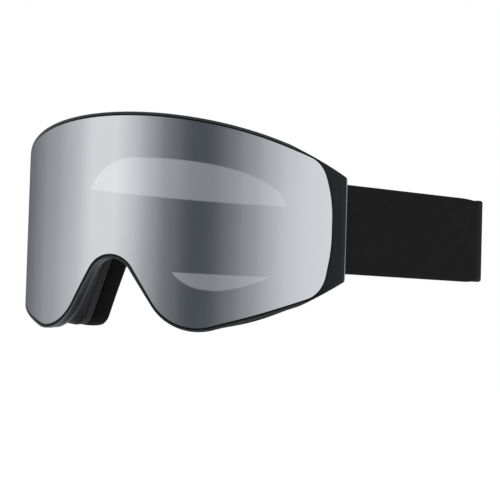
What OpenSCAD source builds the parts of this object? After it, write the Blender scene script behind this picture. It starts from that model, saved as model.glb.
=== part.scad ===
// Ski goggles with a magnetically held cylindrical double lens, a flexible face frame,
// layered face foam and a wide elastic strap on two swivelling clips.
// X runs to the wearer's left, -Y is the front, Z is up. The origin lies on the axis of the
// lens cylinder, at the height of the eyes, in the plane of the foam's temple edges.

/* [Lens] */
// Radius of the outer lens, which curves about a vertical axis
lens_r = 94; // [92:0.5:96]
// Thickness of the mirrored outer lens
outer_lens_t = 1.4; // [1.2:0.1:1.6]
// Thickness of the clear inner lens
inner_lens_t = 0.8; // [0.6:0.1:1]
// Diameter of each lens magnet
magnet_d = 3.6; // [3:0.2:4]

/* [Frame] */
// Visible width of the rim around the lens
rim_w = 1.7; // [1.5:0.1:2]
// Play between the lens edge and the rim
rim_gap = 0.35; // [0.3:0.05:0.5]
// Thickness of the shelf that the lens sits on
shelf_t = 1.5; // [1.2:0.1:1.5]
// Wall thickness of the flexible face frame
wall_t = 2; // [1.6:0.1:2.2]
// Width of one vent slot in the face frame
vent_w = 12; // [10:1:13]

/* [Foam] */
// Radius of the face curve, in plan
face_r = 82; // [81:0.5:84]
// Width of the foam ring
foam_w = 13; // [11:0.5:14]
// Thickness of the firm base foam
base_foam_t = 5.5; // [5:0.5:9]
// Thickness of the soft face foam
face_foam_t = 16; // [15:0.5:16.5]
// Thickness of the fleece lining
fleece_t = 1; // [0.8:0.1:1.2]

/* [Strap] */
// Width of the strap webbing
strap_w = 43; // [40:0.5:43]
// Thickness of one layer of webbing
strap_t = 1.2; // [1:0.1:1.4]
// Angle by which the strap leaves the frame outwards
strap_angle = 19.5; // [18:0.5:21]
// Length of each straight side of the strap
side_len = 102; // [95:1:105]
// Radius of the strap's bends behind the head, on its centre line
bend_r = 15; // [12:0.5:18]
// Distance of the left slider from the middle of the strap at rest
left_slider_x = 22; // [20:0.5:24]
// Distance of the right slider from the middle of the strap at rest
right_slider_x = 30; // [28:0.5:32]

/* [Clips] */
// Radius of the clip pins
pin_r = 1.25; // [1.2:0.05:1.3]
// Outer radius of the clip barrels
barrel_r = 2.4; // [2.3:0.05:2.5]
// Distance of the clip pins from the lens axis
pin_dist = 86.9; // [86.5:0.1:87]

/* [Hidden] */
$fn = 48;

// Radii of the layers between the lens and the face frame, from the front
outer_lens_back = lens_r - outer_lens_t;
carrier_front = outer_lens_back - 0.2;
carrier_back = lens_r - 3;
shelf_front = lens_r - 4.2;
shelf_back = shelf_front - shelf_t;
wing_back = lens_r - 2.8;
inner_lens_front = shelf_back - 0.4;
inner_lens_back = inner_lens_front - inner_lens_t;
tube_front = shelf_back - 0.1;
magnet_t = 0.8;
magnet_gap = 0.2;
gasket_front = outer_lens_back - 0.3;

// Face curve and the layers on it, as distances behind it along Y
face_y = 28;
fleece_back = 0;
fleece_front = -fleece_t;
glue_gap = 0.3;
face_foam_back = fleece_front - glue_gap;
face_foam_front = fleece_front - face_foam_t;
base_foam_back = face_foam_front - glue_gap;
base_foam_front = face_foam_front - base_foam_t;
flange_t = 2;
flange_back = base_foam_front - glue_gap;
flange_front = base_foam_front - flange_t;
flange_w = 8;
foam_round = 1.5;

// Outlines: one half as corners [across, height, rounding radius], clockwise from the top
// centre. Across is the arc length on the lens, or x on the face curve.
lens_half = [
    [0, 60.3, 280], [101.6, 30.1, 20], [110.3, 17.6, 21], [110.1, -23, 20],
    [102, -33.8, 20], [70.4, -43.9, 400], [32.5, -54.4, 25], [7.65, -17, 14.2]];
rim_half = [
    [0, 62.1, 282], [86, 36.6, 60], [119.1, 23.6, 2], [119.1, -25.7, 2],
    [93, -38.6, 40], [70, -45.75, 400], [33.1, -56.2, 26.7], [6.8, -18.7, 12.5]];
chamber_half = [
    [0, 60.3, 280], [88.9, 33.9, 18], [96, 24.4, 18], [96, -29, 16],
    [89.8, -37.5, 16], [70.4, -43.9, 400], [32.5, -54.4, 25], [7.65, -17, 14.2]];
face_half = [
    [0, 59.6, 171], [69.9, 33.5, 20], [77, 23.2, 20], [77, -22, 18],
    [66, -37.5, 20], [50, -46.6, 60], [29.3, -51.4, 8], [10.7, -11, 9]];
// Segments in each corner's arc, and in the straight after it, from the top centre
arc_steps = [18, 5, 3, 3, 5, 1, 7, 5];
line_steps = [2, 1, 4, 1, 3, 3, 3, 1];

// Magnets on each side, as [arc length, height]
magnet_places = [[102, 18], [104, 6], [104, -8], [101, -22]];

// Clip pins: where they stand, and the strap's direction behind them
pin_turn = 70.7;
pin_x = pin_dist * sin(pin_turn);
pin_y = -pin_dist * cos(pin_turn);
strap_z = -0.7;
barrel_half = strap_w / 2 + 0.4;
lug_t = 2.3;
lug_gap = 0.3;
pin_half = barrel_half + lug_gap + lug_t + 0.3;
bore_play = 0.03;
wrap_gap = 0.1;
end_len = 22;
join_gap = 0.6;
ply_gap = 0.1;

// Strap path: a straight side, a bend and half of the back stretch, then the mirror image
strap_out = [sin(strap_angle), cos(strap_angle)];
strap_normal = [cos(strap_angle), -sin(strap_angle)];
wrap_r = barrel_r + wrap_gap + strap_t / 2;
strap_start = [pin_x, pin_y] + wrap_r * strap_normal;
bend_turn = 90 + strap_angle;
bend_centre = strap_start + side_len * strap_out - bend_r * strap_normal;
bend_len = bend_r * bend_turn * PI / 180;
back_y = bend_centre[1] + bend_r;
back_half = bend_centre[0];
half_len = side_len + bend_len + back_half;
strap_len = 2 * half_len;
rise_slope = 0.055;
bend_rise = 1.3;
rise_top = 8;

slider_t = 1.6;
slider_bar = 3.6;
slider_tilt = atan(rise_slope);

// ---------- outlines ----------

function unit(v) = v / norm(v);
function spin(v, a) = [v[0] * cos(a) - v[1] * sin(a), v[0] * sin(a) + v[1] * cos(a)];
function flat(v) = [v[0], v[1]];

// Whole outline from its half: the top corner stands on the middle line
function whole(half) = concat(half,
    [for (i = [len(half) - 1 : -1 : 1]) [-half[i][0], half[i][1], half[i][2]]]);

// Corners moved by d, outwards when d is positive; rounding follows down to 1 mm
function moved(corners, d) = [for (i = [0 : len(corners) - 1]) let (
    n = len(corners),
    b = flat(corners[i]),
    u = unit(flat(corners[(i + n - 1) % n]) - b),
    v = unit(flat(corners[(i + 1) % n]) - b),
    inside = cross(-u, v) < 0 ? 1 : -1,
    half = acos(u * v) / 2,
    p = b - inside * unit(u + v) * d / sin(half)
) [p[0], p[1], max(1, corners[i][2] + inside * d)]];

// Arc that rounds the corner b between its neighbours a and c
function corner_arc(a, b, c, r, steps) = let (
    u = unit(a - b),
    v = unit(c - b),
    half = acos(u * v) / 2,
    centre = b + unit(u + v) * r / sin(half),
    start = b + u * r / tan(half) - centre,
    turn = (180 - 2 * half) * (cross(-u, v) < 0 ? -1 : 1)
) [for (i = [0 : steps]) centre + spin(start, turn * i / steps)];

// Points of a closed outline: every arc, and the straights between them in equal steps
function outline(corners) = let (
    n = len(corners),
    m = len(arc_steps),
    arcs = [for (i = [0 : n - 1]) corner_arc(
        flat(corners[(i + n - 1) % n]), flat(corners[i]), flat(corners[(i + 1) % n]),
        corners[i][2], arc_steps[i < m ? i : n - i])]
) [for (i = [0 : n - 1]) let (
    steps = line_steps[i < m ? i : n - 1 - i],
    start = arcs[i][len(arcs[i]) - 1],
    end = arcs[(i + 1) % n][0]
) each concat(arcs[i], [for (k = [1 : 1 : steps - 1]) start + (end - start) * k / steps])];

// A point of an outline on a cylinder about the lens axis, and on the face curve
function on_lens(p, r) = let (a = p[0] / lens_r * 180 / PI) [r * sin(a), -r * cos(a), p[1]];
function on_face(p, back) = [p[0], face_y - sqrt(face_r * face_r - p[0] * p[0]) + back, p[1]];
function lens_loop(corners, r) = [for (p = outline(corners)) on_lens(p, r)];
function face_loop(corners, back) = [for (p = outline(corners)) on_face(p, back)];
function between(a, b, t) = [for (i = [0 : len(a) - 1]) a[i] * (1 - t) + b[i] * t];

lens_edge = whole(lens_half);
rim_edge = whole(rim_half);
chamber_edge = whole(chamber_half);
face_edge = whole(face_half);
carrier_in = 4.6;
inner_lens_in = 5.5;

// ---------- solids from loops of points ----------

// Loops across a curved face between two outlines, close enough to follow the cylinder
function curved_face(from, to, r) = let (a = outline(from), b = outline(to))
    [for (t = [0 : 1 / 3 : 1.01]) [for (p = between(a, b, t)) on_lens(p, r)]];

// Closed ring: the loops follow each other round the ring's section. Each quad splits along its
// shorter diagonal, so that facing sides of two rings match.
module ring(loops) {
    k = len(loops);
    n = len(loops[0]);
    points = [for (loop = loops) each loop];
    faces = [for (j = [0 : k - 1]) for (i = [0 : n - 1]) let (
        a = j * n + i,
        b = j * n + (i + 1) % n,
        c = ((j + 1) % k) * n + (i + 1) % n,
        d = ((j + 1) % k) * n + i,
        short = norm(points[a] - points[c]) < norm(points[b] - points[d])
    ) each short ? [[a, b, c], [a, c, d]] : [[a, b, d], [b, c, d]]];
    polyhedron(points, faces, convexity = 8);
}

// Curved plate: an outline on two cylinders, filled by smaller copies about a centre
module lens_plate(corners, r_front, r_back) {
    edge = outline(corners);
    n = len(edge);
    centre = [0, 15];
    shares = [1, 0.95, 0.89, 0.82, 0.66, 0.44, 0.22];
    k = len(shares);
    radii = [r_front, r_back];
    points = concat(
        [for (r = radii) for (t = shares) for (p = edge) on_lens(centre + t * (p - centre), r)],
        [for (r = radii) on_lens(centre, r)]);
    side = k * n;
    hub = 2 * side;
    sheet = [for (j = [0 : k - 2]) for (i = [0 : n - 1]) let (
        a = j * n + i,
        b = j * n + (i + 1) % n
    ) each [[a, a + n, b + n], [a, b + n, b]]];
    fan = [for (i = [0 : n - 1]) [side - n + i, hub, side - n + (i + 1) % n]];
    back_sheet = [for (f = sheet) [f[0] + side, f[2] + side, f[1] + side]];
    back_fan = [for (i = [0 : n - 1])
        [2 * side - n + i, 2 * side - n + (i + 1) % n, hub + 1]];
    wall = [for (i = [0 : n - 1]) let (j = (i + 1) % n) each [[i, j, side + j], [i, side + j, side + i]]];
    polyhedron(points, [for (f = concat(sheet, fan, back_sheet, back_fan, wall)) [f[0], f[2], f[1]]],
        convexity = 8);
}

// Band with a rectangular section along stations [point, outward normal, rise]
module band(stations, outer, inner, z_low, z_high) {
    n = len(stations);
    points = [for (s = stations) each [
        [each flat(s[0] + s[1] * outer), s[2] + z_low], [each flat(s[0] + s[1] * outer), s[2] + z_high],
        [each flat(s[0] + s[1] * inner), s[2] + z_high], [each flat(s[0] + s[1] * inner), s[2] + z_low]]];
    sides = [for (i = [0 : n - 2]) for (k = [0 : 3]) let (
        a = 4 * i + k,
        b = 4 * i + (k + 1) % 4
    ) each [[a, b, b + 4], [a, b + 4, a + 4]]];
    last = 4 * (n - 1);
    ends = [[0, 2, 1], [0, 3, 2], [last, last + 1, last + 2], [last, last + 2, last + 3]];
    polyhedron(points, [for (f = concat(sides, ends)) [f[0], f[2], f[1]]], convexity = 8);
}

// ---------- strap path ----------

// Rise of the strap along its length: level on the left, higher behind the head
function rise_at(u) = let (
    x = half_len - u,
    fall = (u - half_len - back_half) / (strap_len - half_len - back_half)
) u < side_len ? 0
    : u < side_len + bend_len ? bend_rise * (u - side_len) / bend_len
    : u < half_len + back_half ? min(rise_top, bend_rise + rise_slope * (back_half - x))
    : rise_top * (1 + cos(180 * min(1, fall))) / 2;

// Plan point and outward normal on the left half of the path, u from the left pin
function half_place(u) = let (turn = (u - side_len) / bend_r * 180 / PI)
    u < side_len ? [strap_start + u * strap_out, strap_normal]
    : u < side_len + bend_len
        ? [bend_centre + bend_r * spin(strap_normal, turn), spin(strap_normal, turn)]
    : [[half_len - u, back_y], [0, 1]];
function mirrored(place) = [[-place[0][0], place[0][1]], [-place[1][0], place[1][1]]];
function place_at(u) = u <= half_len ? half_place(u) : mirrored(half_place(strap_len - u));
function station(u) = [each place_at(u), rise_at(u)];

// Stations from u to v: few on the straights, close together in the bends
function stations(u, v) = let (
    steps = [20, side_len, side_len + bend_len, half_len - left_slider_x, half_len + right_slider_x,
        half_len + back_half, half_len + back_half + bend_len, strap_len - 20],
    bends = [for (k = [1 : 11]) each [
        side_len + bend_len * k / 12, half_len + back_half + bend_len * k / 12]],
    falls = [for (k = [1 : 5]) half_len + back_half + bend_len + side_len * k / 6],
    marks = [for (m = concat(steps, bends, falls)) if (m > u + 1 && m < v - 1) m]
) [for (m = concat([u], sorted(marks), [v])) station(m)];
function sorted(list) = len(list) < 2 ? list : let (
    pivot = list[0],
    low = [for (m = list) if (m < pivot) m],
    high = [for (m = list) if (m > pivot) m]
) concat(sorted(low), [pivot], sorted(high));

// ---------- lens unit ----------

module outer_lens() {
    color("lightsteelblue") lens_plate(lens_edge, lens_r, outer_lens_back);
}

module lens_carrier() {
    outer = moved(lens_edge, -0.3);
    inner = moved(chamber_edge, -carrier_in);
    color("dimgray") ring(concat(
        curved_face(outer, inner, carrier_back), curved_face(inner, outer, carrier_front)));
}

module lens_gasket() {
    outer = moved(chamber_edge, -inner_lens_in);
    inner = moved(chamber_edge, -inner_lens_in - 2);
    back = inner_lens_front + 0.05;
    color("gray") ring([
        lens_loop(outer, gasket_front), lens_loop(outer, back),
        lens_loop(inner, back), lens_loop(inner, gasket_front)]);
}

module inner_lens() {
    color("lightcyan") lens_plate(moved(chamber_edge, -inner_lens_in), inner_lens_front, inner_lens_back);
}

// Discs that stand on both sides, their faces square to the lens cylinder
module magnets(r_high, height) {
    for (side = [-1, 1]) for (place = magnet_places)
        rotate([0, 0, side * place[0] / lens_r * 180 / PI])
            translate([0, -r_high, place[1]]) rotate([-90, 0, 0]) cylinder(r = magnet_d / 2, h = height);
}

module carrier_magnets() {
    color("silver") magnets(carrier_back - magnet_gap, magnet_t);
}

// ---------- frame ----------

module front_frame() {
    lip = moved(lens_edge, rim_gap);
    step = moved(lens_edge, rim_w - 0.35);
    foot = moved(lens_edge, rim_w - 0.45);
    inner = moved(chamber_edge, -carrier_in);
    color("dimgray") ring(concat(
        [lens_loop(lip, lens_r - 0.1), lens_loop(rim_edge, lens_r - 0.1)],
        [lens_loop(rim_edge, wing_back), lens_loop(step, wing_back - 0.2)],
        curved_face(foot, inner, shelf_back), curved_face(inner, lip, shelf_front)));
}

module frame_magnets() {
    color("silver") magnets(shelf_back - magnet_gap, magnet_t);
}

// Slots cut upwards or downwards through the wall, at places [x, depth y, slant]
module vent_cuts(places, z_low, height) {
    for (p = places)
        translate([p[0], p[1], z_low]) rotate([0, 0, p[2]]) translate([-vent_w / 2, -vent_depth / 2, 0])
            cube([vent_w, vent_depth, height]);
}
vent_depth = 3.6;
top_vents = [for (k = [-2 : 2]) [k * 17, -84.9 + 1.77 * k * k, k * 12]];
bottom_vents = [for (side = [-1, 1]) for (k = [0, 1])
    [side * (40 + 16 * k), -74.9 + 11.1 * k, side * (28 + 9 * k)]];

module face_frame() {
    tube_outer = lens_loop(moved(chamber_edge, -2), tube_front);
    tube_inner = lens_loop(moved(chamber_edge, -2 - wall_t), tube_front);
    root_outer = face_loop(moved(face_edge, -1), flange_front);
    root_inner = face_loop(moved(face_edge, -1 - wall_t), flange_front);
    lip_in = moved(face_edge, -flange_w);
    color("darkslategray") difference() {
        ring([
            tube_outer, between(tube_outer, root_outer, 0.5), root_outer,
            face_loop(face_edge, flange_front + 0.1), face_loop(face_edge, flange_back),
            face_loop(lip_in, flange_back), face_loop(lip_in, flange_front),
            root_inner, between(tube_inner, root_inner, 0.5), tube_inner]);
        vent_cuts(top_vents, 20, 50);
        vent_cuts(bottom_vents, -60, 40);
    }
}

// Strip of filter foam inside the wall: a run of the outline between two of its points
module wall_strip(first, last, thickness) {
    outer = [for (r = foam_span) between(
        lens_loop(moved(chamber_edge, -2.2 - wall_t), tube_front),
        face_loop(moved(face_edge, -1.3 - wall_t), flange_front), r)];
    inner = [for (r = foam_span) between(
        lens_loop(moved(chamber_edge, -2.2 - wall_t - thickness), tube_front),
        face_loop(moved(face_edge, -1.3 - wall_t - thickness), flange_front), r)];
    n = last - first + 1;
    points = concat(
        [for (i = [first : last]) outer[0][i]], [for (i = [first : last]) outer[1][i]],
        [for (i = [first : last]) inner[1][i]], [for (i = [first : last]) inner[0][i]]);
    sides = [for (j = [0 : 3]) for (i = [0 : n - 2]) let (
        a = j * n + i,
        d = ((j + 1) % 4) * n + i
    ) each [[a, a + 1, d + 1], [a, d + 1, d]]];
    ends = [[0, n, 2 * n], [0, 2 * n, 3 * n],
        [n - 1, 3 * n - 1, 2 * n - 1], [n - 1, 4 * n - 1, 3 * n - 1]];
    polyhedron(points, concat(sides, ends), convexity = 6);
}

// Share of the wall's depth that the filter foam covers, from the front
foam_span = [0.28, 0.85];
// Outline points: where the runs of filter foam start and end
top_run = arc_steps[0] - 1;
bottom_first = arc_steps[0] + arc_steps[1] + arc_steps[2] + arc_steps[3] + arc_steps[4] + 12;
outline_n = len(outline(face_edge));

module top_vent_foam() {
    color("slategray") wall_strip(1, top_run, 1.6);
}

module bottom_vent_foam() {
    color("slategray") {
        wall_strip(bottom_first, bottom_first + 5, 1.6);
        wall_strip(outline_n + arc_steps[0] - bottom_first - 5, outline_n + arc_steps[0] - bottom_first, 1.6);
    }
}

// Layer of the face seal between two distances along Y, drawn in at its edges by a soft round
module foam_layer(front, back, round_front, round_back) {
    outer = face_edge;
    inner = moved(face_edge, -foam_w);
    ring(concat(
        round_front > 0
            ? [face_loop(moved(outer, -round_front), front), face_loop(outer, front + round_front)]
            : [face_loop(outer, front)],
        round_back > 0
            ? [face_loop(outer, back - round_back), face_loop(moved(outer, -round_back), back),
                face_loop(moved(inner, round_back), back), face_loop(inner, back - round_back)]
            : [face_loop(outer, back), face_loop(inner, back)],
        round_front > 0
            ? [face_loop(inner, front + round_front), face_loop(moved(inner, round_front), front)]
            : [face_loop(inner, front)]));
}

module base_foam() {
    color("gray") foam_layer(base_foam_front, base_foam_back, 0, 0);
}

module face_foam() {
    color([0.2, 0.2, 0.22]) foam_layer(face_foam_front, face_foam_back, 0, foam_round);
}

module fleece_lining() {
    outer = moved(face_edge, -foam_round);
    inner = moved(face_edge, -foam_w + foam_round);
    color([0.12, 0.12, 0.13]) ring([
        face_loop(outer, fleece_front), face_loop(moved(outer, -0.3), fleece_back),
        face_loop(moved(inner, 0.3), fleece_back), face_loop(inner, fleece_front)]);
}

// ---------- clips ----------

// Puts a shape drawn as [outward, rearward] from the lens axis beside the clip pin
module at_pin() {
    translate([0, 0, strap_z]) rotate([0, 0, pin_turn - 90]) children();
}

module on_right() {
    mirror([1, 0, 0]) children();
}

module pivot_bracket() {
    bar_low = pin_dist - 2.7;
    bar_far = 9;
    bar_high = sqrt(pow(shelf_back - 0.3, 2) - bar_far * bar_far);
    lug_high = wing_back - 0.7;
    lug = [
        [bar_low, -bar_far], [bar_high, -bar_far], [bar_high, -4], [lug_high, -2.7],
        [lug_high, 2.6], [bar_low, 2.6]];
    lug_low = barrel_half + lug_gap;
    color("dimgray") at_pin() difference() {
        union() {
            translate([bar_low, -bar_far, -lug_low - lug_t])
                cube([bar_high - bar_low, 4, 2 * (lug_low + lug_t)]);
            for (z = [-lug_low - lug_t, lug_low]) translate([0, 0, z]) linear_extrude(lug_t) polygon(lug);
        }
        translate([pin_dist, 0, -pin_half - 1]) cylinder(r = pin_r + bore_play, h = 2 * pin_half + 2);
    }
}

module clip_pin() {
    color("silver") translate([pin_x, pin_y, strap_z - pin_half]) {
        cylinder(r = pin_r, h = 2 * pin_half);
        translate([0, 0, 2 * pin_half]) cylinder(r = pin_r + 0.7, h = 0.5);
    }
}

module strap_clip() {
    color("black") translate([pin_x, pin_y, strap_z - barrel_half]) difference() {
        cylinder(r = barrel_r, h = 2 * barrel_half);
        translate([0, 0, -1]) cylinder(r = pin_r + bore_play, h = 2 * barrel_half + 2);
    }
}

// Folded webbing: round the barrel, then two plies that run to the seam
module strap_end() {
    turn = 90 - strap_angle;
    low = barrel_r + wrap_gap;
    color([0.13, 0.13, 0.13]) translate([pin_x, pin_y, strap_z - strap_w / 2])
        rotate([0, 0, turn]) linear_extrude(strap_w) {
            difference() {
                circle(r = low + strap_t);
                circle(r = low);
                translate([0, -low - strap_t - 1]) square([low + strap_t + 1, 2 * (low + strap_t + 1)]);
            }
            translate([0, -low - strap_t]) square([end_len, strap_t]);
            polygon([
                [0, low], [0, low + strap_t], [4, low + strap_t], [end_len - 6, -low + strap_t + ply_gap],
                [end_len, -low + strap_t + ply_gap], [end_len, -low + ply_gap],
                [end_len - 6.6, -low + ply_gap], [3.4, low]]);
        }
}

module left_pivot_bracket() { pivot_bracket(); }
module right_pivot_bracket() { on_right() pivot_bracket(); }
module left_clip_pin() { clip_pin(); }
module right_clip_pin() { on_right() clip_pin(); }
module left_strap_clip() { strap_clip(); }
module right_strap_clip() { on_right() strap_clip(); }
module left_strap_end() { strap_end(); }
module right_strap_end() { on_right() strap_end(); }

// ---------- strap ----------

strap_low = strap_z - strap_w / 2;
strap_high = strap_z + strap_w / 2;
return_outer = -strap_t / 2 - ply_gap;
return_inner = return_outer - strap_t;
return_tail = 6;
grip_first = 30;
grip_last = 92;

module strap_band() {
    u = end_len + join_gap;
    color([0.13, 0.13, 0.13]) band(stations(u, strap_len - u), strap_t / 2, -strap_t / 2, strap_low, strap_high);
}

module left_strap_return() {
    color([0.16, 0.16, 0.16]) band(stations(end_len + join_gap, half_len - return_tail),
        return_outer, return_inner, strap_low, strap_high);
}

module right_strap_return() {
    color([0.16, 0.16, 0.16]) band(stations(half_len + return_tail, strap_len - end_len - join_gap),
        return_outer, return_inner, strap_low, strap_high);
}

// Three raised silicone lines on the face of the webbing that lies on the head
module grip_strips(u, v) {
    line_w = 2.4;
    color("black") for (k = [-1 : 1])
        band(stations(u, v), return_inner - 0.02, return_inner - 0.5,
            strap_z + 11 * k - line_w / 2, strap_z + 11 * k + line_w / 2);
}

module left_grip_strips() { grip_strips(grip_first, grip_last); }
module right_grip_strips() { grip_strips(strap_len - grip_last, strap_len - grip_first); }

// Ladder slider round the webbing: two outer bars, end rails and an inner centre bar
module slider(x, tilt) {
    rise = rise_at(half_len - x);
    half_w = strap_w / 2 + 0.5;
    rail = 3;
    plies = strap_t / 2 + 0.3;
    inner_y = return_inner - 0.3;
    pitch = 8;
    depth = plies - inner_y + 2 * slider_t;
    color("black") translate([x, back_y, strap_z + rise]) rotate([0, tilt, 0]) {
        for (z = [-half_w - rail, half_w])
            translate([-pitch - slider_bar / 2, inner_y - slider_t, z])
                cube([2 * pitch + slider_bar, depth, rail]);
        for (dx = [-pitch, pitch])
            translate([dx - slider_bar / 2, plies, -half_w - 1])
                cube([slider_bar, slider_t, 2 * half_w + 2]);
        translate([-slider_bar / 2, inner_y - slider_t, -half_w - 1])
            cube([slider_bar, slider_t, 2 * half_w + 2]);
    }
}

module left_slider() { slider(left_slider_x, slider_tilt); }
module right_slider() { slider(-right_slider_x, 0); }

outer_lens();
lens_carrier();
lens_gasket();
inner_lens();
carrier_magnets();
front_frame();
frame_magnets();
face_frame();
top_vent_foam();
bottom_vent_foam();
base_foam();
face_foam();
fleece_lining();
left_pivot_bracket();
right_pivot_bracket();
left_clip_pin();
right_clip_pin();
left_strap_clip();
right_strap_clip();
left_strap_end();
right_strap_end();
strap_band();
left_strap_return();
right_strap_return();
left_grip_strips();
right_grip_strips();
left_slider();
right_slider();
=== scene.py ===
"""Looks of the ski goggles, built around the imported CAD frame. Lengths are in mm until mesh time."""
import math

import bmesh
import bpy
import numpy as np
from mathutils import Matrix, Vector


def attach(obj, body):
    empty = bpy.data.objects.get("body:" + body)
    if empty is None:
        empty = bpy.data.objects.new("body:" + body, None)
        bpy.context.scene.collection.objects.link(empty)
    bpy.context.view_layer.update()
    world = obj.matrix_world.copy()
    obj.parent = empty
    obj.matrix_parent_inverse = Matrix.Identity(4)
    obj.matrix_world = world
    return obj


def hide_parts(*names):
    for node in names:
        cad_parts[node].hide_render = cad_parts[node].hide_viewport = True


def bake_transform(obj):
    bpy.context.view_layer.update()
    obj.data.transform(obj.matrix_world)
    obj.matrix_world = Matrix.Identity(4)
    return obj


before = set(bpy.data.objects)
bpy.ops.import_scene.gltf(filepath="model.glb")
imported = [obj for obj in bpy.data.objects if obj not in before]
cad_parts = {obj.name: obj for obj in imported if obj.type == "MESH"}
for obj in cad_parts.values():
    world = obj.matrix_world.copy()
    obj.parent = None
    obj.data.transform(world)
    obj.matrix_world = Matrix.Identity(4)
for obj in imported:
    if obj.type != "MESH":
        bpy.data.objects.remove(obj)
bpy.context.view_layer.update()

MM = 0.001

# ---------- driving dimensions, close to the CAD ----------

LENS_R = 94.0
FACE_R = 82.0
FACE_Y = 28.0
RIM_GAP = 0.35
WALL_T = 2.0
FOAM_W = 13.0
SHELF_FRONT = LENS_R - 4.2
SHELF_BACK = SHELF_FRONT - 1.5
WING_BACK = LENS_R - 2.8
TUBE_FRONT = SHELF_BACK - 0.1
CARRIER_IN = 4.6
INNER_LENS_IN = 5.5
FLEECE_FRONT = -1.0
FACE_FOAM_FRONT = -17.0
BASE_FOAM_FRONT = -22.5
FLANGE_BACK = BASE_FOAM_FRONT - 0.1
FLANGE_FRONT = BASE_FOAM_FRONT - 2.0

# Half outlines as corners (across, height, rounding radius), clockwise from the top centre
LENS_HALF = [(0, 60.9, 280), (104.2, 29.5, 15), (110.75, 12, 50), (110.7, -11, 60),
             (105.7, -32.6, 16), (70.4, -43.9, 400), (32.5, -54.4, 25), (7.65, -17, 14.2)]
RIM_HALF = [(0, 62.1, 282), (86, 36.6, 60), (120.3, 23.5, 2), (120.3, -26.0, 2),
            (93, -38.6, 40), (70, -45.75, 400), (33.1, -56.2, 26.7), (6.8, -18.7, 12.5)]
CHAMBER_HALF = [(0, 60.3, 280), (88.9, 33.9, 18), (96, 24.4, 18), (96, -29, 16),
                (89.8, -37.5, 16), (70.4, -43.9, 400), (32.5, -54.4, 25), (7.65, -17, 14.2)]
FACE_HALF = [(0, 59.6, 171), (69.9, 33.5, 20), (77, 23.2, 20), (77, -22, 18),
             (66, -37.5, 20), (50, -46.6, 60), (29.3, -51.4, 8), (10.7, -11, 9)]
DETAIL = 4
ARC_STEPS = [DETAIL * n for n in (18, 5, 3, 3, 5, 1, 7, 5)]
LINE_STEPS = [DETAIL * n for n in (2, 1, 4, 1, 3, 3, 3, 1)]

# Strap and clips
STRAP_W = 43.0
STRAP_T = 1.2
STRAP_Z = -0.7
STRAP_ANGLE = math.radians(19.5)
SIDE_LEN = 102.0
BEND_R = 15.0
PIN_DIST = 86.9
PIN_TURN = math.radians(70.7)
BARREL_R = 2.4
WRAP_R = BARREL_R + 0.1 + STRAP_T / 2
PLY_GAP = 0.1
RISE_SLOPE = 0.055
BEND_RISE = 1.3
RISE_TOP = 8.0
RETURN_TAIL = 6.0
SLIDER_X = {"left": 22.0, "right": -30.0}
# The webbing draws in a little where it turns round its bends
NECK_IN = 1.6
NECK_REACH = 4.0

pin = np.array([PIN_DIST * math.sin(PIN_TURN), -PIN_DIST * math.cos(PIN_TURN)])
strap_out = np.array([math.sin(STRAP_ANGLE), math.cos(STRAP_ANGLE)])
strap_normal = np.array([math.cos(STRAP_ANGLE), -math.sin(STRAP_ANGLE)])
strap_start = pin + WRAP_R * strap_normal
bend_centre = strap_start + SIDE_LEN * strap_out - BEND_R * strap_normal
bend_turn = math.pi / 2 + STRAP_ANGLE
bend_len = BEND_R * bend_turn
back_y = bend_centre[1] + BEND_R
back_half = bend_centre[0]
half_len = SIDE_LEN + bend_len + back_half
bend_edge = bend_centre[0] + BEND_R


# ---------- outlines ----------

def unit(v):
    return v / np.linalg.norm(v)


def spin(v, a):
    return np.array([v[0] * math.cos(a) - v[1] * math.sin(a), v[0] * math.sin(a) + v[1] * math.cos(a)])


def cross2(a, b):
    return a[0] * b[1] - a[1] * b[0]


def whole(half):
    """The closed outline's corners from its half; the top corner stands on the middle line."""
    return [tuple(c) for c in half] + [(-x, z, r) for x, z, r in reversed(half[1:])]


def moved(corners, d):
    """The corners moved outwards by d, with their rounding."""
    out = []
    n = len(corners)
    for i, (x, z, r) in enumerate(corners):
        b = np.array([x, z], float)
        u = unit(np.array(corners[i - 1][:2]) - b)
        v = unit(np.array(corners[(i + 1) % n][:2]) - b)
        side = 1 if cross2(-u, v) < 0 else -1
        half = math.acos(float(u @ v)) / 2
        p = b - side * unit(u + v) * d / math.sin(half)
        out.append((p[0], p[1], max(1.0, r + side * d)))
    return out


def corner_arc(a, b, c, r, steps):
    u, v = unit(a - b), unit(c - b)
    half = math.acos(float(u @ v)) / 2
    centre = b + unit(u + v) * r / math.sin(half)
    start = b + u * r / math.tan(half) - centre
    turn = (math.pi - 2 * half) * (-1 if cross2(-u, v) < 0 else 1)
    return [centre + spin(start, turn * i / steps) for i in range(steps + 1)]


def outline(corners):
    """Points of a closed outline: its arcs, and the straights between them in equal steps."""
    n, m = len(corners), len(ARC_STEPS)
    flat = [np.array(c[:2], float) for c in corners]
    arcs = [corner_arc(flat[i - 1], flat[i], flat[(i + 1) % n], corners[i][2],
                       ARC_STEPS[i if i < m else n - i]) for i in range(n)]
    points = []
    for i in range(n):
        steps = LINE_STEPS[i if i < m else n - 1 - i]
        start, end = arcs[i][-1], arcs[(i + 1) % n][0]
        points += arcs[i] + [start + (end - start) * k / steps for k in range(1, steps)]
    return np.array(points)


def on_lens(p, r):
    """Outline points (arc length, height) on a cylinder of radius r about the lens axis."""
    a = p[:, 0] / LENS_R
    return np.stack([r * np.sin(a), -r * np.cos(a), p[:, 1]], 1)


def on_face(p, back):
    """Outline points (x, height) on the face curve, moved back along Y."""
    return np.stack([p[:, 0], FACE_Y - np.sqrt(FACE_R ** 2 - p[:, 0] ** 2) + back, p[:, 1]], 1)


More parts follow.
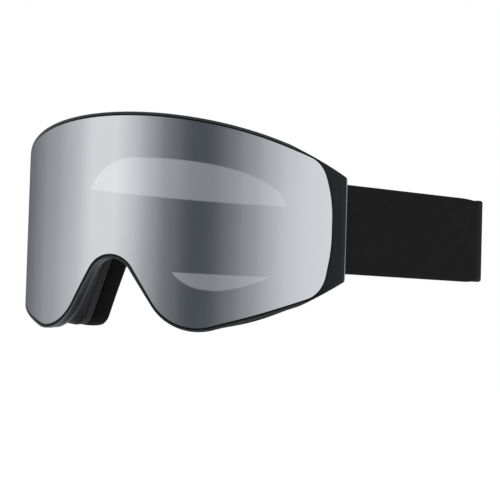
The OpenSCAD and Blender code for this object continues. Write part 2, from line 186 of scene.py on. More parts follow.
lens_edge, rim_edge = whole(LENS_HALF), whole(RIM_HALF)
chamber_edge, face_edge = whole(CHAMBER_HALF), whole(FACE_HALF)


def lens_loop(corners, d, r):
    return on_lens(outline(moved(corners, d) if d else corners), r)


def face_loop(d, back):
    return on_face(outline(moved(face_edge, d) if d else face_edge), back)


# ---------- meshes ----------

def add_mesh(name, vertices, faces, smooth=True):
    mesh = bpy.data.meshes.new(name)
    mesh.from_pydata([tuple(v) for v in np.asarray(vertices, float) * MM], [], faces)
    mesh.validate()
    mesh.update()
    obj = bpy.data.objects.new(name, mesh)
    bpy.context.scene.collection.objects.link(obj)
    if smooth:
        mesh.polygons.foreach_set("use_smooth", [True] * len(mesh.polygons))
    return obj


def grid_faces(k, n, closed_k=True, closed_n=True, start=0):
    """Quads of k loops of n points each."""
    rows = range(k if closed_k else k - 1)
    columns = range(n if closed_n else n - 1)
    return [(start + j * n + i, start + ((j + 1) % k) * n + i,
             start + ((j + 1) % k) * n + (i + 1) % n, start + j * n + (i + 1) % n)
            for j in rows for i in columns]


def ring(name, loops):
    """Closed ring whose section runs from loop to loop."""
    return add_mesh(name, np.concatenate(loops), grid_faces(len(loops), len(loops[0])))


def outwards(obj):
    """Makes all normals face out."""
    bm = bmesh.new()
    bm.from_mesh(obj.data)
    bmesh.ops.recalc_face_normals(bm, faces=bm.faces)
    bm.to_mesh(obj.data)
    bm.free()
    return obj


def apply_modifiers(obj):
    """Makes the evaluated mesh the object's own mesh."""
    graph = bpy.context.evaluated_depsgraph_get()
    mesh = bpy.data.meshes.new_from_object(obj.evaluated_get(graph))
    obj.modifiers.clear()
    obj.data = mesh
    return obj


def bevelled(obj, width, segments=3, angle=35):
    mod = obj.modifiers.new("edges", "BEVEL")
    mod.width = width * MM
    mod.segments = segments
    mod.limit_method = "ANGLE"
    mod.angle_limit = math.radians(angle)
    mod.harden_normals = True
    return obj


def section_ring(name, place, profile):
    """Ring from a smooth section: profile lists (inset, depth), place makes a loop from them."""
    return outwards(ring(name, [place(inset, depth) for inset, depth in profile]))


def section(w0, w1, d0, d1, radii, steps=4, bulge=0.0):
    """Rounded rectangle in (inset, depth): side w0, end d1, side w1, end d0, in that order."""
    r00, r01, r11, r10 = radii
    points = []
    arcs = [((w0 + r00, d0 + r00), r00, 270), ((w0 + r01, d1 - r01), r01, 180),
            ((w1 - r11, d1 - r11), r11, 90), ((w1 - r10, d0 + r10), r10, 0)]
    for (cw, cd), r, a0 in arcs:
        points.append([(cw + r * math.cos(math.radians(a0 - 90 * i / steps)),
                        cd + r * math.sin(math.radians(a0 - 90 * i / steps))) for i in range(steps + 1)])
    out = []
    for i, arc in enumerate(points):
        out += arc
        start, end = np.array(arc[-1]), np.array(points[(i + 1) % 4][0])
        length = np.linalg.norm(end - start)
        if length > 1e-6:
            normal = np.array([-(end - start)[1], (end - start)[0]]) / length
            for k in range(1, steps + 1):
                t = k / (steps + 1)
                out.append(tuple(start + (end - start) * t + normal * bulge * 4 * t * (1 - t)))
    return out


def parts_of(side):
    return 1 if side == "left" else -1


# ---------- materials ----------

def material(name, colour, roughness, metallic=0.0, **sockets):
    """A Principled material; returns it with its node tree and shader."""
    mat = bpy.data.materials.new(name)
    mat.use_nodes = True
    tree = mat.node_tree
    shader = tree.nodes["Principled BSDF"]
    shader.inputs["Base Color"].default_value = (*colour, 1)
    shader.inputs["Roughness"].default_value = roughness
    shader.inputs["Metallic"].default_value = metallic
    for key, value in sockets.items():
        shader.inputs[key.replace("_", " ")].default_value = value
    return mat, tree, shader


def node(tree, kind, inputs=(), **values):
    """A new node; values are its properties, inputs its sockets by name."""
    made = tree.nodes.new(kind)
    for key, value in values.items():
        setattr(made, key, value)
    for key, value in dict(inputs).items():
        made.inputs[key].default_value = value
    return made


def mapped(tree, scale, source="Object"):
    coord = node(tree, "ShaderNodeTexCoord")
    mapping = node(tree, "ShaderNodeMapping", {"Scale": scale})
    tree.links.new(coord.outputs[source], mapping.inputs["Vector"])
    return mapping.outputs["Vector"]


def noise(tree, vector, scale, detail=4.0, rough=0.6):
    tex = node(tree, "ShaderNodeTexNoise", {"Scale": scale, "Detail": detail, "Roughness": rough})
    tree.links.new(vector, tex.inputs["Vector"])
    return tex.outputs["Fac"]


def voronoi(tree, vector, scale, feature="F1"):
    tex = node(tree, "ShaderNodeTexVoronoi", {"Scale": scale}, feature=feature)
    tree.links.new(vector, tex.inputs["Vector"])
    return tex.outputs["Distance"]


def ramp(tree, value, stops, interpolation="LINEAR"):
    made = node(tree, "ShaderNodeValToRGB")
    made.color_ramp.interpolation = interpolation
    elements = made.color_ramp.elements
    while len(elements) < len(stops):
        elements.new(0.5)
    for element, (position, colour) in zip(elements, stops):
        element.position = position
        element.color = (*colour, 1) if len(colour) == 3 else colour
    tree.links.new(value, made.inputs["Fac"])
    return made.outputs["Color"]


def grey(v):
    return (v, v, v)


def maths(tree, operation, a, b=None, c=None, clamp=False):
    made = node(tree, "ShaderNodeMath", operation=operation, use_clamp=clamp)
    for i, value in enumerate((a, b, c)):
        if value is None:
            continue
        if isinstance(value, (int, float)):
            made.inputs[i].default_value = value
        else:
            tree.links.new(value, made.inputs[i])
    return made.outputs[0]


def mix_colour(tree, factor, a, b):
    made = node(tree, "ShaderNodeMix", data_type="RGBA")
    for index, value in ((0, factor), (6, a), (7, b)):
        if isinstance(value, (tuple, int, float)):
            made.inputs[index].default_value = (*value, 1) if isinstance(value, tuple) else value
        else:
            tree.links.new(value, made.inputs[index])
    return made.outputs[2]


def bump(tree, shader, height, strength, distance, under=None):
    made = node(tree, "ShaderNodeBump", {"Strength": strength, "Distance": distance * MM})
    tree.links.new(height, made.inputs["Height"])
    if under is not None:
        tree.links.new(under, made.inputs["Normal"])
    tree.links.new(made.outputs["Normal"], shader.inputs["Normal"])
    return made.outputs["Normal"]


def mirror_material():
    mat, tree, shader = material("mirror_coating", (0.62, 0.65, 0.70), 0.02, 1.0)
    where = mapped(tree, (1, 1, 1))
    cloud = noise(tree, where, 22, 3)
    tree.links.new(ramp(tree, cloud, [(0.3, (0.625, 0.635, 0.645)), (0.7, (0.66, 0.67, 0.68))]),
                   shader.inputs["Base Color"])
    haze = noise(tree, where, 260, 5)
    tree.links.new(ramp(tree, haze, [(0.35, grey(0.003)), (0.75, grey(0.010))]), shader.inputs["Roughness"])
    return mat


def smoke_material():
    mat, tree, shader = material("smoked_back", (0.012, 0.013, 0.016), 0.14, 0.0, Specular_IOR_Level=0.35)
    where = mapped(tree, (1, 1, 1))
    cloud = noise(tree, where, 18, 2)
    tree.links.new(ramp(tree, cloud, [(0.3, (0.008, 0.009, 0.011)), (0.7, (0.014, 0.015, 0.018))]),
                   shader.inputs["Base Color"])
    tree.links.new(ramp(tree, noise(tree, where, 240, 4), [(0.3, grey(0.08)), (0.8, grey(0.17))]),
                   shader.inputs["Roughness"])
    return mat


def plastic_material(name, dark, light, roughness, grain=0.35, grain_scale=2600, gloss_level=0.2):
    """Moulded plastic: fine spark texture, slow tone changes and a little handling gloss."""
    mat, tree, shader = material(name, dark, roughness, 0.0, Specular_IOR_Level=gloss_level)
    where = mapped(tree, (1, 1, 1))
    slow = noise(tree, where, 35, 4)
    tree.links.new(ramp(tree, slow, [(0.3, dark), (0.72, light)]), shader.inputs["Base Color"])
    gloss = noise(tree, where, 90, 5, 0.7)
    tree.links.new(ramp(tree, gloss, [(0.3, grey(roughness - 0.06)), (0.75, grey(roughness + 0.08))]),
                   shader.inputs["Roughness"])
    bump(tree, shader, noise(tree, where, grain_scale, 3, 0.55), grain, 0.05)
    return mat


def foam_material(name, dark, light, cell, pile=False):
    """Open-cell foam: pores at the given cell size in mm; pile adds a brushed surface."""
    mat, tree, shader = material(name, dark, 0.95, 0.0, Sheen_Weight=0.12 if pile else 0.01,
                                 Sheen_Roughness=0.45, Specular_IOR_Level=0.06)
    where = mapped(tree, (1, 1, 1))
    pores = voronoi(tree, where, 1000 / cell)
    fibres = noise(tree, where, 900 / cell, 6, 0.7)
    mixed = maths(tree, "MULTIPLY_ADD", fibres, 0.5, maths(tree, "MULTIPLY", pores, 0.8))
    tree.links.new(ramp(tree, mixed, [(0.25, light), (0.75, dark)]), shader.inputs["Base Color"])
    slow = noise(tree, where, 60, 3)
    tree.links.new(ramp(tree, slow, [(0.3, grey(0.88)), (0.7, grey(1.0))]), shader.inputs["Roughness"])
    height = fibres if pile else mixed
    bump(tree, shader, height, 0.7, 0.35 if pile else 0.3)
    return mat


def webbing_material(name, dark, light):
    """Woven elastic: ribs across the strap, warp threads along it, fine fuzz. Uses the strap's own UVs,
    in metres along and across."""
    mat, tree, shader = material(name, dark, 0.85, 0.0, Sheen_Weight=0.015, Sheen_Roughness=0.4,
                                 Specular_IOR_Level=0.12)
    coord = node(tree, "ShaderNodeTexCoord")
    split = node(tree, "ShaderNodeSeparateXYZ")
    tree.links.new(coord.outputs["UV"], split.inputs[0])
    along, across = split.outputs[0], split.outputs[1]
    rib = 0.9 * MM
    thread = 0.7 * MM
    row = maths(tree, "FLOOR", maths(tree, "DIVIDE", across, thread))
    shift = maths(tree, "MULTIPLY", maths(tree, "PINGPONG", row, 2.0), 0.5)
    phase = maths(tree, "MULTIPLY_ADD", maths(tree, "DIVIDE", along, rib), 2 * math.pi,
                  maths(tree, "MULTIPLY", shift, math.pi))
    ribs = maths(tree, "MULTIPLY_ADD", maths(tree, "SINE", phase), 0.5, 0.5)
    warps = maths(tree, "ABSOLUTE", maths(tree, "SINE", maths(tree, "MULTIPLY", across, math.pi / thread)))
    weave = maths(tree, "MULTIPLY", maths(tree, "POWER", warps, 0.6),
                  maths(tree, "MULTIPLY_ADD", ribs, 0.7, 0.3))
    where = mapped(tree, (1, 1, 1))
    fuzz = noise(tree, where, 1800, 4, 0.7)
    slow = noise(tree, where, 70, 4, 0.6)
    # The weave lightens the raised threads and darkens the gaps between them, a painted shade; the fuzz and
    # the slow noise add random tone
    threads = maths(tree, "MULTIPLY_ADD", weave, 0.35, maths(tree, "MULTIPLY", fuzz, 0.25))
    tone = maths(tree, "MULTIPLY_ADD", slow, 0.6, threads)
    tree.links.new(ramp(tree, tone, [(0.35, dark), (0.85, light)]), shader.inputs["Base Color"])
    tree.links.new(ramp(tree, fuzz, [(0.3, grey(0.78)), (0.7, grey(0.95))]), shader.inputs["Roughness"])
    height = maths(tree, "MULTIPLY_ADD", fuzz, 0.35, weave)
    bump(tree, shader, height, 0.6, 0.22)
    return mat


def metal_material(name, colour, roughness):
    mat, tree, shader = material(name, colour, roughness, 1.0)
    where = mapped(tree, (1, 1, 14))
    scratches = noise(tree, where, 900, 4, 0.6)
    tree.links.new(ramp(tree, scratches, [(0.3, grey(roughness - 0.08)), (0.75, grey(roughness + 0.12))]),
                   shader.inputs["Roughness"])
    bump(tree, shader, scratches, 0.2, 0.02)
    return mat


def clear_material():
    mat, tree, shader = material("clear_inner", (0.93, 0.96, 0.98), 0.03, 0.0,
                                 Transmission_Weight=0.95, IOR=1.49)
    where = mapped(tree, (1, 1, 1))
    tree.links.new(ramp(tree, noise(tree, where, 200, 4), [(0.35, grey(0.0)), (0.8, grey(0.008))]),
                   shader.inputs["Roughness"])
    return mat


def finish_piece(obj, mat, slot, *nodes):
    """Gives a piece its material and hides the CAD nodes that it stands for; slot is not used."""
    obj.data.materials.clear()
    obj.data.materials.append(mat)
    if nodes:
        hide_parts(*nodes)
    return obj


MAT = {
    "mirror": mirror_material(),
    "smoke": smoke_material(),
    "clear": clear_material(),
    "frame": plastic_material("frame_plastic", (0.0055, 0.006, 0.007), (0.0085, 0.009, 0.0102), 0.42,
                              gloss_level=0.14),
    "rim": plastic_material("rim_satin", (0.026, 0.028, 0.030), (0.036, 0.038, 0.040), 0.40,
                            gloss_level=0.16),
    "carrier": plastic_material("carrier_plastic", (0.012, 0.012, 0.013), (0.02, 0.02, 0.022), 0.5),
    "slider": plastic_material("slider_plastic", (0.014, 0.014, 0.015), (0.022, 0.022, 0.024), 0.42),
    "tpu": plastic_material("flexible_frame", (0.0022, 0.0024, 0.003), (0.0065, 0.007, 0.0085), 0.5,
                            0.5, 1500, 0.04),
    "grey_foam": foam_material("grey_foam", (0.018, 0.018, 0.0185), (0.056, 0.055, 0.053), 0.7),
    "black_foam": foam_material("black_foam", (0.0008, 0.0008, 0.001), (0.0032, 0.0032, 0.0035), 0.6),
    "vent_foam": foam_material("vent_foam", (0.008, 0.008, 0.009), (0.05, 0.05, 0.052), 1.4),
    "fleece": foam_material("fleece", (0.004, 0.004, 0.0045), (0.018, 0.018, 0.019), 0.5, True),
    "gasket": plastic_material("gasket_rubber", (0.012, 0.012, 0.012), (0.02, 0.02, 0.02), 0.6),
    "webbing": webbing_material("webbing", (0.0035, 0.0035, 0.0036), (0.0085, 0.0085, 0.0088)),
    "grip": plastic_material("grip_silicone", (0.012, 0.012, 0.014), (0.02, 0.02, 0.024), 0.35, 0.2),
    "thread": plastic_material("thread", (0.006, 0.006, 0.006), (0.012, 0.012, 0.0125), 0.7, 0.6, 4000),
    # Light grey for a thin strip on the wings' trailing edges: a painted highlight
    "edge": plastic_material("painted_edge_highlight", (0.20, 0.20, 0.205), (0.26, 0.26, 0.265), 0.36),
    "steel": metal_material("pin_steel", (0.55, 0.55, 0.56), 0.3),
    "nickel": metal_material("magnet_nickel", (0.68, 0.68, 0.70), 0.22),
}


# ---------- lens unit ----------

LENS_CENTRE = np.array([0.0, 15.0])


def lens_plate(name, corners, front, back, rings=26, edge=0.35):
    """Curved plate on two cylinders with a rounded edge; returns the object."""
    rim = outline(corners)
    inner_rim = outline(moved(corners, -edge))
    shares = [1 - k / rings for k in range(rings)]
    loops = []
    for share in reversed(shares):
        loops.append(on_lens(LENS_CENTRE + share * (inner_rim - LENS_CENTRE), front))
    half = (front - back) / 2
    round_r = min(edge, half)
    for k in range(1, 4):
        a = math.pi / 2 * k / 4
        part = inner_rim + (rim - inner_rim) * math.sin(a)
        loops.append(on_lens(part, front - round_r * (1 - math.cos(a))))
    loops.append(on_lens(rim, front - round_r))
    loops.append(on_lens(rim, back + round_r * 0.6))
    loops.append(on_lens(inner_rim + (rim - inner_rim) * 0.7, back))
    for share in shares:
        loops.append(on_lens(LENS_CENTRE + share * (inner_rim - LENS_CENTRE), back))
    n, k = len(rim), len(loops)
    hub = k * n
    hubs = [on_lens(LENS_CENTRE[None, :], r) for r in (front, back)]
    points = np.concatenate(loops + hubs)
    faces = grid_faces(k, n, closed_k=False)
    faces += [(i, (i + 1) % n, hub) for i in range(n)]
    faces += [((k - 1) * n + (i + 1) % n, (k - 1) * n + i, hub + 1) for i in range(n)]
    obj = outwards(add_mesh(name, points, faces))
    # Exact cylinder normals on both faces, so that reflections stay straight; the edge keeps its own
    smooth_normals = [v.normal.copy() for v in obj.data.vertices]
    normals = obj.data.attributes.new("custom_normal", "FLOAT_VECTOR", "POINT")
    for v, item, smooth in zip(obj.data.vertices, normals.data, smooth_normals):
        x, y = v.co.x, v.co.y
        r = math.hypot(x, y)
        flat = abs(r - front * MM) < 1e-6 or abs(r - back * MM) < 1e-6
        sign = 1 if r > (front + back) / 2 * MM else -1
        item.vector = (sign * x / r, sign * y / r, 0) if flat else smooth
    return obj


def build_lens():
    outer = lens_plate("mirror_lens", lens_edge, LENS_R, LENS_R - 1.4)
    finish_piece(outer, MAT["mirror"], "mirror_lens", "outer_lens")
    outer.data.materials.append(MAT["smoke"])
    front_r = (LENS_R - 0.02) * MM
    coated = [math.hypot(v.co.x, v.co.y) > front_r for v in outer.data.vertices]
    for poly in outer.data.polygons:
        poly.material_index = 0 if all(coated[v] for v in poly.vertices) else 1
    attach(outer, "lens")

    def carrier_loop(inset, r):
        t = min(1.0, max(0.0, inset))
        a = outline(moved(lens_edge, -0.3))
        b = outline(moved(chamber_edge, -CARRIER_IN))
        return on_lens(a + (b - a) * t, r)
    low, high = LENS_R - 3, LENS_R - 1.45
    profile = [(0, high), (0, low + 0.3), (0.04, low), (0.3, low), (0.34, low + 0.35), (0.66, low + 0.35),
               (0.7, low), (0.96, low), (1, low + 0.3), (1, high)]
    carrier = section_ring("lens_carrier_ring", carrier_loop, profile)
    finish_piece(bevelled(carrier, 0.12, 2), MAT["carrier"], "carrier_plastic", "lens_carrier")
    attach(carrier, "lens")

    gasket_back = SHELF_BACK - 0.35
    profile = section(INNER_LENS_IN, INNER_LENS_IN + 2, gasket_back, LENS_R - 1.45,
                      (0.3, 0.3, 0.3, 0.3), 3, 0.15)
    gasket = section_ring("gasket_bead", lambda i, r: lens_loop(chamber_edge, -i, r), profile)
    finish_piece(gasket, MAT["gasket"], "gasket_foam", "lens_gasket")
    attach(gasket, "lens")

    front = SHELF_BACK - 0.4
    inner = lens_plate("clear_inner_lens", moved(chamber_edge, -INNER_LENS_IN), front, front - 0.8, 14, 0.25)
    finish_piece(inner, MAT["clear"], "clear_lens", "inner_lens")
    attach(inner, "lens")


# ---------- frame ----------

def densified(points, gap):
    """A closed outline with points added so that none lie further apart than the gap."""
    out = []
    for a, b in zip(points, np.roll(points, -1, axis=0)):
        steps = max(1, math.ceil(np.linalg.norm(b - a) / gap))
        out += [a + (b - a) * k / steps for k in range(steps)]
    return np.array(out)


def nearest(points, line):
    """For each point, the nearest place on a closed outline."""
    start = line[None, :, :]
    run = np.roll(line, -1, axis=0)[None, :, :] - start
    length = np.maximum((run ** 2).sum(-1), 1e-9)
    share = np.clip(((points[:, None, :] - start) * run).sum(-1) / length, 0, 1)
    places = start + run * share[..., None]
    best = ((places - points[:, None, :]) ** 2).sum(-1).argmin(1)
    return places[np.arange(len(points)), best]


def build_front_frame():
    """Rim, wings and lens shelf, as loops round the lens: from the shelf over the front face to the back."""
    rim = densified(outline(rim_edge), 1.2)
    lip = nearest(rim, outline(moved(lens_edge, RIM_GAP)))
    step = nearest(rim, outline(moved(lens_edge, 1.35)))
    foot = nearest(rim, outline(moved(lens_edge, 1.25)))
    inner = nearest(rim, outline(moved(chamber_edge, -CARRIER_IN)))

    def across(t, r):
        return on_lens(lip + (rim - lip) * t, r)
    loops = [
        on_lens(lip, SHELF_FRONT), on_lens(lip, LENS_R - 1.2), on_lens(lip, LENS_R - 0.62),
        across(0.07, LENS_R - 0.42), across(0.25, LENS_R - 0.33), across(0.45, LENS_R - 0.24),
        across(0.52, LENS_R - 0.12),
        across(0.58, LENS_R - 0.05), across(0.78, LENS_R - 0.02), across(0.925, LENS_R - 0.02),
        across(0.985, LENS_R - 0.1), across(1, LENS_R - 0.35), across(1, LENS_R - 0.62),
        across(1, LENS_R - 1.2), across(1, WING_BACK + 0.3),
        across(0.985, WING_BACK + 0.08), across(0.95, WING_BACK)]
    wing_foot = on_lens(step, WING_BACK - 0.2)
    loops += [wing_foot, on_lens(foot, SHELF_BACK + 0.2), on_lens(foot + (inner - foot) * 0.05, SHELF_BACK),
              on_lens(inner, SHELF_BACK), on_lens(inner, SHELF_FRONT)]
    frame_obj = outwards(ring("front_frame_shell", loops))
    finish_piece(frame_obj, MAT["frame"], "frame_plastic", "front_frame")
    frame_obj.data.materials.append(MAT["rim"])
    frame_obj.data.materials.append(MAT["edge"])
    # The rim round the lens has the lighter satin finish; the wings stay black, and so does the rim's lower
    # outer side, as painted shade. The wings' trailing edge strip takes the light grey edge material as a
    # painted highlight
    for poly in frame_obj.data.polygons:
        c = poly.center / MM
        s, r = abs(math.atan2(c.x, -c.y)) * LENS_R, math.hypot(c.x, c.y)
        # under marks the rim's lower outer side, which keeps the black frame material as painted shade
        under = c.z < -22 and s > 33 and r < LENS_R - 0.45
        if r > LENS_R - 1.1 and s < 96 and not under:
            poly.material_index = 1
        # The wings' trailing edge chamfer takes the light grey edge material: a painted highlight
        elif s > 119.5 and LENS_R - 0.12 < r < LENS_R - 0.03:
            poly.material_index = 2
    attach(frame_obj, "root")


def build_face_frame():
    """Flexible wall from the shelf to the flange: a sheet with vent windows, made solid."""
    wall_steps = 16
    front = lens_loop(chamber_edge, -2, TUBE_FRONT)
    back = face_loop(-1, FLANGE_FRONT)
    loops = []
    for k in range(wall_steps + 1):
        t = k / wall_steps
        waist = 0.35 * math.sin(math.pi * t)
        middle = front * (1 - t) + back * t
        inward = lens_loop(chamber_edge, -2 - waist, TUBE_FRONT) - front
        loops.append(middle + inward)
    n = len(front)
    points = np.concatenate(loops)
    faces = []
    row_first, row_last = 5, 10
    post = 0.16
    for j in range(wall_steps):
        for i in range(n):
            middle = loops[j][i]
            x, z = middle[0], middle[2]
            top_share = (x / 17 + 0.5) % 1
            low_share = ((abs(x) - 33) / 15.5) % 1
            open_top = z > 20 and abs(x) < 62 and abs(top_share - 0.5) < 0.5 - post
            open_low = z < -33 and 33 < abs(x) < 64 and abs(low_share - 0.5) < 0.5 - post
            if row_first <= j <= row_last and (open_top or open_low):
                continue
            faces.append((j * n + i, (j + 1) * n + i, (j + 1) * n + (i + 1) % n, j * n + (i + 1) % n))
    wall = add_mesh("face_frame_shell", points, faces)
    thick = wall.modifiers.new("wall", "SOLIDIFY")
    thick.thickness = WALL_T * MM
    thick.offset = 0
    apply_modifiers(outwards(wall))
    bevelled(wall, 0.35, 3, 50)
    apply_modifiers(wall)
    profile = section(0, 8, FLANGE_FRONT, FLANGE_BACK, (0.5, 0.5, 0.5, 0.5), 3)
    flange = section_ring("face_frame_flange", lambda i, d: face_loop(-i, d), profile)
    join_into(wall, [flange])
    finish_piece(wall, MAT["tpu"], "flexible_frame", "face_frame")
    wall.data.polygons.foreach_set("use_smooth", [True] * len(wall.data.polygons))
    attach(wall, "root")


def join_into(target, others):
    """Puts the others' meshes into target's mesh."""
    bm = bmesh.new()
    bm.from_mesh(target.data)
    for other in others:
        bm.from_mesh(other.data)
        bpy.data.objects.remove(other)
    bm.to_mesh(target.data)
    bm.free()


def build_vent_foams():
    """Filter foam behind the windows: soft strips inside the wall."""
    n = len(outline(face_edge))
    wall_front = [lens_loop(chamber_edge, -d, TUBE_FRONT) for d in (4.3, 6.3)]
    wall_back = [face_loop(-d, FLANGE_FRONT) for d in (3.4, 5.4)]

    def strip(name, first, last):
        rows = []
        for side, t in ((0, 0.16), (0, 0.5), (0, 0.8), (1, 0.8), (1, 0.5), (1, 0.16)):
            loop = wall_front[side] * (1 - t) + wall_back[side] * t
            rows.append(loop[[i % n for i in range(first, last + 1)]])
        count = last - first + 1
        faces = grid_faces(len(rows), count, closed_n=False)
        faces.append(tuple(j * count for j in range(len(rows))))
        faces.append(tuple(j * count + count - 1 for j in reversed(range(len(rows)))))
        return outwards(bevelled(add_mesh(name, np.concatenate(rows), faces), 0.4, 2))
    top = strip("top_vent_filter", 4, ARC_STEPS[0] - 4)
    finish_piece(top, MAT["vent_foam"], "vent_foam", "top_vent_foam")
    start = sum(ARC_STEPS[:5]) + 12 * DETAIL
    left = strip("bottom_vent_filter", start, start + 5 * DETAIL)
    right = strip("bottom_vent_filter_right", n + ARC_STEPS[0] - start - 5 * DETAIL, n + ARC_STEPS[0] - start)
    apply_modifiers(left)
    apply_modifiers(right)
    join_into(left, [right])
    finish_piece(left, MAT["vent_foam"], "vent_foam", "bottom_vent_foam")
    for piece in (top, left):
        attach(piece, "root")


# ---------- foam ----------

def build_foam():
    def place(inset, depth):
        return face_loop(-inset, depth)
    profile = section(0.1, FOAM_W - 0.1, BASE_FOAM_FRONT + 0.02, FACE_FOAM_FRONT - 0.08,
                      (0.5, 0.5, 0.5, 0.5), 4, -0.15)
    base = section_ring("base_foam_ring", place, profile)
    finish_piece(base, MAT["grey_foam"], "grey_foam", "base_foam")
    profile = section(0, FOAM_W, FACE_FOAM_FRONT, FLEECE_FRONT - 0.06, (0.7, 3.0, 3.0, 0.7), 5, 0.25)
    face = section_ring("face_foam_cushion", place, profile)
    finish_piece(face, MAT["black_foam"], "black_foam", "face_foam")
    profile = section(2.6, FOAM_W - 2.6, FLEECE_FRONT - 0.03, 0, (0.3, 0.5, 0.5, 0.3), 4, 0.12)
    fleece = section_ring("fleece_face", place, profile)
    finish_piece(fleece, MAT["fleece"], "fleece", "fleece_lining")
    for piece, fill in ((base, 1.0), (face, 0.9), (fleece, 0.5)):
        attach(piece, "root")


# ---------- strap ----------

def rise_at(u):
    """Rise of the strap along its length from the left pin: level on the left, higher behind."""
    total = 2 * half_len
    if u < SIDE_LEN:
        return 0.0
    if u < SIDE_LEN + bend_len:
        return BEND_RISE * (u - SIDE_LEN) / bend_len
    if u < half_len + back_half:
        return min(RISE_TOP, BEND_RISE + RISE_SLOPE * (back_half - (half_len - u)))
    fall = min(1.0, (u - half_len - back_half) / (total - half_len - back_half))
    return RISE_TOP * (1 + math.cos(math.pi * fall)) / 2


def half_place(u):
    """Plan point and outward normal on the left half of the strap's centre line."""
    if u < SIDE_LEN:
        return strap_start + u * strap_out, strap_normal
    if u < SIDE_LEN + bend_len:
        normal = spin(strap_normal, (u - SIDE_LEN) / BEND_R)
        return bend_centre + BEND_R * normal, normal
    return np.array([half_len - u, back_y]), np.array([0.0, 1.0])


def strap_stations(side, first, last, offset=0.0, step=2.0):
    """Stations (point, normal, rise) on one side's half, u measured from that side's pin."""
    count = max(2, int(abs(last - first) / step))
    sign = parts_of(side)
    out = []
    for u in np.linspace(first, last, count + 1):
        point, normal = half_place(u)
        point = point + normal * offset
        rise = rise_at(u if side == "left" else 2 * half_len - u)
        out.append((np.array([sign * point[0], point[1]]), np.array([sign * normal[0], normal[1]]), rise))
    return out


def webbing_stations(side):
    """The folded webbing's centre line: outer ply from the middle of the back to the pin, round the
    barrel, and the inner ply back to its tail."""
    sign = parts_of(side)
    outer = strap_stations(side, half_len, 0.0)
    wrap = []
    for k in range(1, 20):
        normal = spin(strap_normal, -math.pi * k / 20)
        point = pin + WRAP_R * normal
        wrap.append((np.array([sign * point[0], point[1]]), np.array([sign * normal[0], normal[1]]), 0.0))
    inner = []
    merge = 15.0
    ply = STRAP_T + PLY_GAP
    for u in np.linspace(0.0, half_len - RETURN_TAIL, int(half_len / 2)):
        point, normal = half_place(u)
        ease = (1 - math.cos(math.pi * min(1.0, u / merge))) / 2
        point = point + normal * (-2 * WRAP_R * (1 - ease) - ply * ease)
        rise = rise_at(u if side == "left" else 2 * half_len - u)
        inner.append((np.array([sign * point[0], point[1]]), np.array([-sign * normal[0], -normal[1]]), rise))
    return outer + wrap + inner


def band_mesh(name, stations, width, thick, z=STRAP_Z, across=14, corner=0.45):
    """Webbing along stations: a flat section with rounded selvedges, and UVs in metres."""
    half_w, half_t = width / 2, thick / 2
    zs = list(np.linspace(-half_w + corner, half_w - corner, across))
    face = [(half_t, v) for v in zs]
    cap = [(half_t * math.cos(a), half_w - corner + corner * math.sin(a))
           for a in (0.5, 1.1, 1.57, 2.04, 2.64)]
    sect = face + cap + [(-t, v) for t, v in reversed(face)] + [(-t, -v) for t, v in cap]
    n, k = len(sect), len(stations)
    points, along, length = [], [], 0.0
    previous = stations[0][0]
    for point, normal, rise in stations:
        length += np.linalg.norm(point - previous)
        previous = point
        along.append(length)
        neck = max(0.0, 1 - (abs(abs(point[0]) - bend_edge) / NECK_REACH)) ** 2 * NECK_IN
        squeeze = 1 - neck / half_w
        points += [(*(point + normal * t), z + rise + v * squeeze) for t, v in sect]
    faces = grid_faces(k, n, closed_k=False)
    faces.append(tuple(range(n)))
    faces.append(tuple(reversed(range((k - 1) * n, k * n))))
    obj = add_mesh(name, points, faces)
    layer = obj.data.uv_layers.new(name="strap")
    for loop in obj.data.loops:
        j, i = divmod(loop.vertex_index, n)
        layer.data[loop.index].uv = (along[j] * MM, (sect[i][1] + half_w) * MM)
    return outwards(obj)


def blend_at_clip(obj):
    """Bakes the object's transform into its mesh."""
    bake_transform(obj)


def stitch_mesh(name, places, length, radius):
    """Small rounded stitches at (centre, direction, normal) places."""
    points, faces = [], []
    rings, sides = 7, 6
    for centre, direction, normal in places:
        side_way = np.cross(direction, normal)
        base = len(points)
        for k in range(rings):
            t = k / (rings - 1) * 2 - 1
            r = radius * math.sqrt(max(0.04, 1 - abs(t) ** 3))
            lift = normal * radius * 0.7 * (1 - t * t)
            for i in range(sides):
                a = 2 * math.pi * i / sides
                around = side_way * r * math.cos(a) + normal * r * math.sin(a)
                points.append(centre + direction * t * length / 2 + lift + around)
        faces += grid_faces(rings, sides, closed_k=False, start=base)
        faces.append(tuple(base + i for i in range(sides)))
        faces.append(tuple(base + (rings - 1) * sides + i for i in reversed(range(sides))))
    return outwards(add_mesh(name, points, faces))


def seam_places(side):
    """Stitches of the seam behind the clip: two rows across the inner face of the strap."""
    sign = parts_of(side)
    pitch = 2.6
    inner_face = -1.5 * STRAP_T - PLY_GAP
    places = []
    for u in (17.5, 20.5):
        point, normal = half_place(u)
        at = point + normal * inner_face
        facing = np.array([-sign * normal[0], -normal[1], 0.0])
        for v in np.arange(-STRAP_W / 2 + 2.5, STRAP_W / 2 - 2.4, pitch):
            centre = np.array([sign * at[0], at[1], STRAP_Z + v])
            places.append((centre, np.array([0.0, 0.0, 1.0]), facing))
    return places


